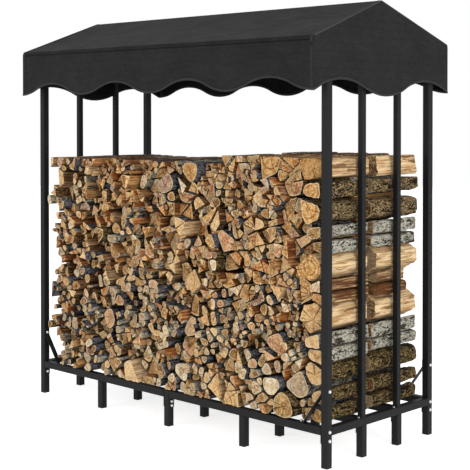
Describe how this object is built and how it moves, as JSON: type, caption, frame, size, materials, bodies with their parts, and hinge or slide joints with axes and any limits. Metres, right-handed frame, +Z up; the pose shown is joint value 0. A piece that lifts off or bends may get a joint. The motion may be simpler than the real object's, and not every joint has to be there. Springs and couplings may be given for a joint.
{
  "type": "log store",
  "caption": "Free-standing log store: square-tube rack on raised legs, slatted ends, knee braces, a gabled cloth cover with a scalloped edge, and a stacked load of split and round firewood.",
  "frame": {"origin": "on the floor, midway between the posts", "axes": "+X to the right along the open front, +Y from the front to the back, +Z up"},
  "size_m": [1.883, 0.915, 1.864],
  "materials": {
    "frame_steel": "charcoal powder coat, fine satin texture",
    "foot_plastic": "black moulded cap",
    "cover_cloth": "coated woven polyester, matt charcoal",
    "firewood": "sawn and split faces with bark",
    "bolt_zinc": "zinc-plated bolts"
  },
  "bodies": {
    "root": {"front_left_post": "frame_steel", "left_side_post_front": "frame_steel", "front_rail_left": "frame_steel", "front_left_brace": "frame_steel", "rear_left_post": "frame_steel", "left_side_post_rear": "frame_steel", "rear_rail_left": "frame_steel", "rear_left_brace": "frame_steel", "front_right_post": "frame_steel", "right_side_post_front": "frame_steel", "front_rail_right": "frame_steel", "front_right_brace": "frame_steel", "rear_right_post": "frame_steel", "right_side_post_rear": "frame_steel", "rear_rail_right": "frame_steel", "rear_right_brace": "frame_steel", "left_end_rail": "frame_steel", "inner_rails_left": "frame_steel", "left_eave_tube": "frame_steel", "left_rafters": "frame_steel", "right_end_rail": "frame_steel", "inner_rails_right": "frame_steel", "right_eave_tube": "frame_steel", "right_rafters": "frame_steel", "front_middle_leg": "frame_steel", "front_eave_tube": "frame_steel", "front_top_rail": "frame_steel", "rear_middle_leg": "frame_steel", "rear_eave_tube": "frame_steel", "rear_top_rail": "frame_steel", "inner_middle_legs": "frame_steel", "ridge_tube": "frame_steel", "foot_caps": "foot_plastic", "cover_roof_sheet": "cover_cloth", "cover_left_end": "cover_cloth", "cover_right_end": "cover_cloth", "front_logs_bay_1": "firewood", "front_logs_bay_2": "firewood", "front_logs_bay_3": "firewood", "front_logs_bay_4": "firewood", "rear_logs_bay_1": "firewood", "rear_logs_bay_2": "firewood", "rear_logs_bay_3": "firewood", "rear_logs_bay_4": "firewood"}
  },
  "joints": []
}
